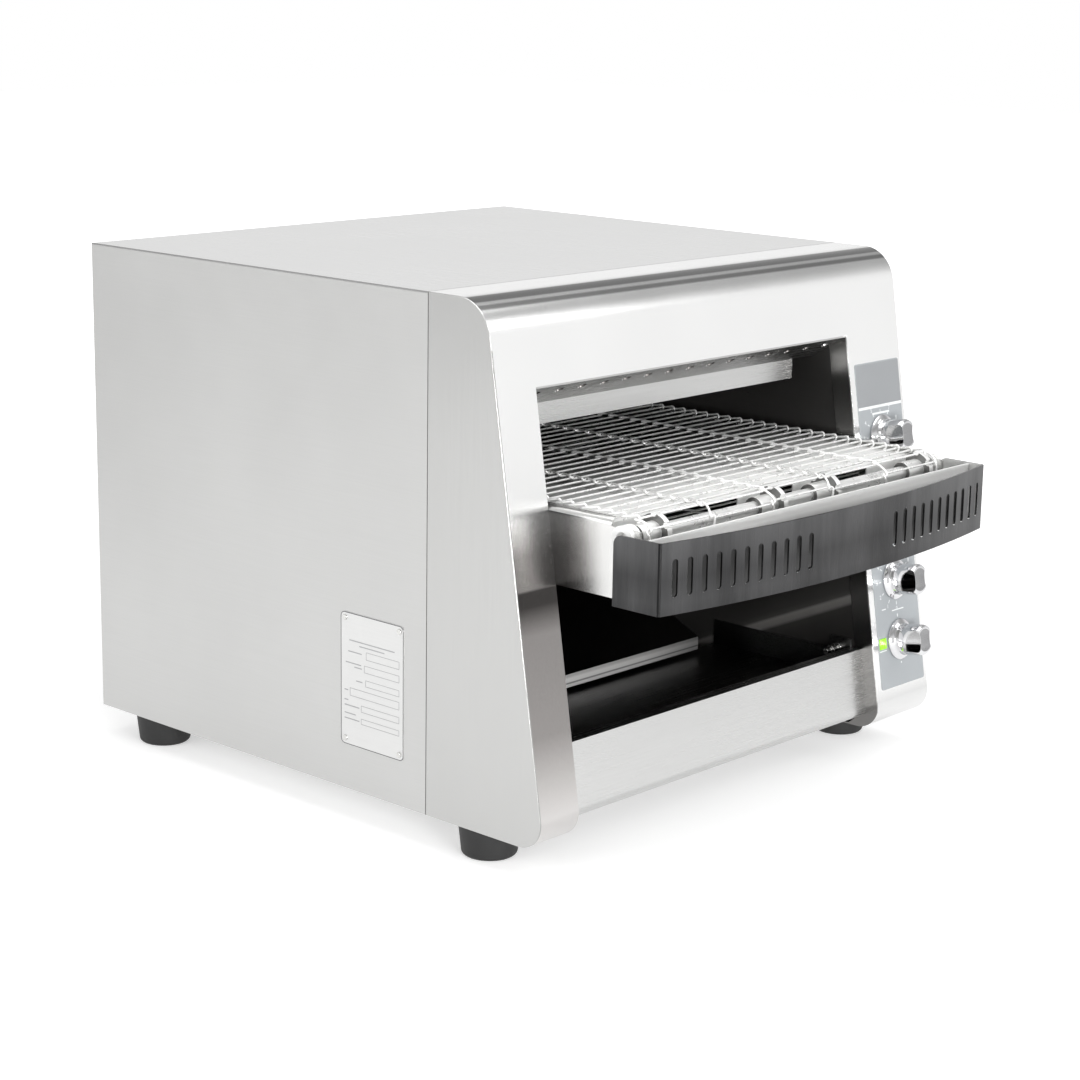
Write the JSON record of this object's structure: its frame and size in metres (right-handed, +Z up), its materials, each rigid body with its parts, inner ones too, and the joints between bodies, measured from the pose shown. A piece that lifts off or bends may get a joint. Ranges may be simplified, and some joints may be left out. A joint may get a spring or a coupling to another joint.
{
  "type": "conveyor toaster",
  "caption": "Counter-top conveyor toaster: a driven wire belt carries bread between heating rods, and a chute returns the toast to a tray below.",
  "frame": {"origin": "on the ground under the middle of the object's box, where the feet stand", "axes": "+Z up, -Y towards the feed opening and its guard, +X towards the controls"},
  "size_m": [0.4714, 0.5994, 0.404],
  "materials": {
    "casing_steel": "brushed stainless",
    "front_steel": "brushed stainless",
    "inner_steel": "heat-stained stainless",
    "guard_steel": "dark satin",
    "wire_chrome": "polished wire",
    "shaft_chrome": "ground and polished",
    "fastener_chrome": "bright zinc",
    "knob_chrome": "satin chrome",
    "overlay_film": "printed film",
    "plate_metal": "satin plate",
    "foot_rubber": "matte",
    "black_plastic": "moulded",
    "lamp_lens": "clear tinted",
    "heater_sheath": "oxidised",
    "chain_steel": "oiled",
    "motor_metal": "cast",
    "bush_brass": "turned"
  },
  "bodies": {
    "casing": {"base_pan": "casing_steel", "left_side_panel": "casing_steel", "right_side_panel": "casing_steel", "top_panel": "casing_steel", "rear_panel": "casing_steel", "front_frame": "inner_steel", "front_shroud": "front_steel", "lower_front_panel": "front_steel", "control_overlay": "overlay_film", "data_plate": "plate_metal", "data_plate_rivets": "fastener_chrome", "left_inner_wall": "inner_steel", "right_inner_wall": "inner_steel", "rear_heat_shield": "inner_steel", "roof_reflector": "inner_steel", "heat_deflector": "front_steel", "upper_heaters": "heater_sheath", "lower_heaters": "heater_sheath", "left_conveyor_rail": "front_steel", "right_conveyor_rail": "front_steel", "infeed_pan": "front_steel", "belt_deck": "front_steel", "belt_runners": "inner_steel", "belt_carrying_run": "wire_chrome", "belt_front_turn": "wire_chrome", "belt_return_run": "wire_chrome", "belt_rear_turn": "wire_chrome", "front_guard": "guard_steel", "guard_brackets": "inner_steel", "front_bearings": "front_steel", "drive_bearings": "bush_brass", "gearmotor": "motor_metal", "motor_bracket": "inner_steel", "drive_chain": "chain_steel", "fan_frame": "black_plastic", "return_chute": "inner_steel", "collecting_tray": "front_steel", "thumb_screws": "fastener_chrome", "crumb_tray_runners": "inner_steel", "control_bodies": "black_plastic", "indicator_lamp": "lamp_lens", "terminal_block": "black_plastic", "feet": "foot_rubber", "foot_screws": "fastener_chrome", "case_screws": "fastener_chrome", "cable_gland": "black_plastic"},
    "front_roller": {"front_shaft": "shaft_chrome", "front_hubs": "shaft_chrome"},
    "drive_roller": {"drive_shaft": "shaft_chrome", "drive_sprockets": "inner_steel", "drive_chain_wheel": "chain_steel"},
    "motor_output": {"motor_shaft": "shaft_chrome", "motor_chain_wheel": "chain_steel"},
    "fan": {"fan_rotor": "black_plastic"},
    "speed_control": {"speed_knob": "knob_chrome"},
    "upper_heat_control": {"upper_heat_knob": "knob_chrome"},
    "lower_heat_control": {"lower_heat_knob": "knob_chrome"},
    "power_control": {"power_knob": "knob_chrome"},
    "crumb_drawer": {"crumb_tray": "front_steel"}
  },
  "joints": [
    {"name": "drive_spin", "type": "hinge", "parent": "casing", "child": "drive_roller", "pos_m": [-0.0143, 0.1572, 0.24482], "axis": [-1, 0, 0], "continuous": true, "deforming": ["belt_front_turn", "belt_rear_turn", "drive_chain"]},
    {"name": "front_spin", "type": "hinge", "parent": "casing", "child": "front_roller", "pos_m": [-0.0143, -0.2388, 0.2485], "axis": [-1, 0, 0], "continuous": true},
    {"name": "motor_spin", "type": "hinge", "parent": "casing", "child": "motor_output", "pos_m": [0.1907, 0.1572, 0.13052], "axis": [-1, 0, 0], "continuous": true},
    {"name": "fan_spin", "type": "hinge", "parent": "casing", "child": "fan", "pos_m": [-0.0143, 0.276, 0.099], "axis": [0, 1, 0], "continuous": true},
    {"name": "speed_turn", "type": "hinge", "parent": "casing", "child": "speed_control", "pos_m": [0.2017, -0.16757, 0.258], "axis": [0, 0.9872, -0.1592], "range_deg": [0, 270]},
    {"name": "upper_heat_turn", "type": "hinge", "parent": "casing", "child": "upper_heat_control", "pos_m": [0.2017, -0.17692, 0.2], "axis": [0, 0.9872, -0.1592], "range_deg": [0, 270]},
    {"name": "lower_heat_turn", "type": "hinge", "parent": "casing", "child": "lower_heat_control", "pos_m": [0.2017, -0.18627, 0.142], "axis": [0, 0.9872, -0.1592], "range_deg": [0, 270]},
    {"name": "power_turn", "type": "hinge", "parent": "casing", "child": "power_control", "pos_m": [0.2017, -0.19417, 0.093], "axis": [0, 0.9872, -0.1592], "range_deg": [0, 90]},
    {"name": "crumb_tray_slide", "type": "slide", "parent": "casing", "child": "crumb_drawer", "axis": [0, -1, 0], "range_m": [0, 0.2]}
  ],
  "couplings": [
    {"joint": "front_spin", "follows": "drive_spin", "ratio": 1.3333},
    {"joint": "motor_spin", "follows": "drive_spin", "ratio": 1}
  ]
}
